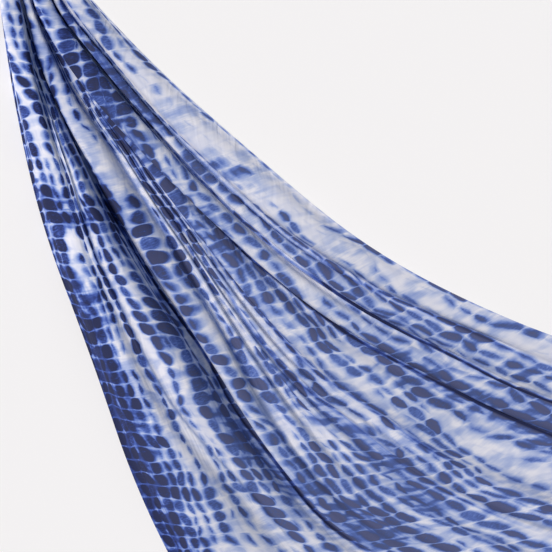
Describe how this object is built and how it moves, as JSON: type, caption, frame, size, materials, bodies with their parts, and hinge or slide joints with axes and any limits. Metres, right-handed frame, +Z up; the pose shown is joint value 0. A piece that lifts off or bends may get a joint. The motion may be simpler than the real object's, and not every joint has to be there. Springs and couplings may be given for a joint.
{
  "type": "printed cotton lawn fabric length",
  "caption": "Cut length of blue and white tie-dyed cotton lawn, drawn together at one end and fanning out in long soft folds.",
  "frame": {"origin": "under the middle of the cloth, on the surface it lies on", "axes": "+Z up off the surface, through the cloth; +Y towards the gathered end, +X towards the side the folds sweep to"},
  "size_m": [0.9274, 0.848, 0.0392],
  "materials": {
    "lawn": "matte thin plain weave, dyed in indigo spots on white"
  },
  "bodies": {
    "root": {"cloth": "lawn"}
  },
  "joints": []
}
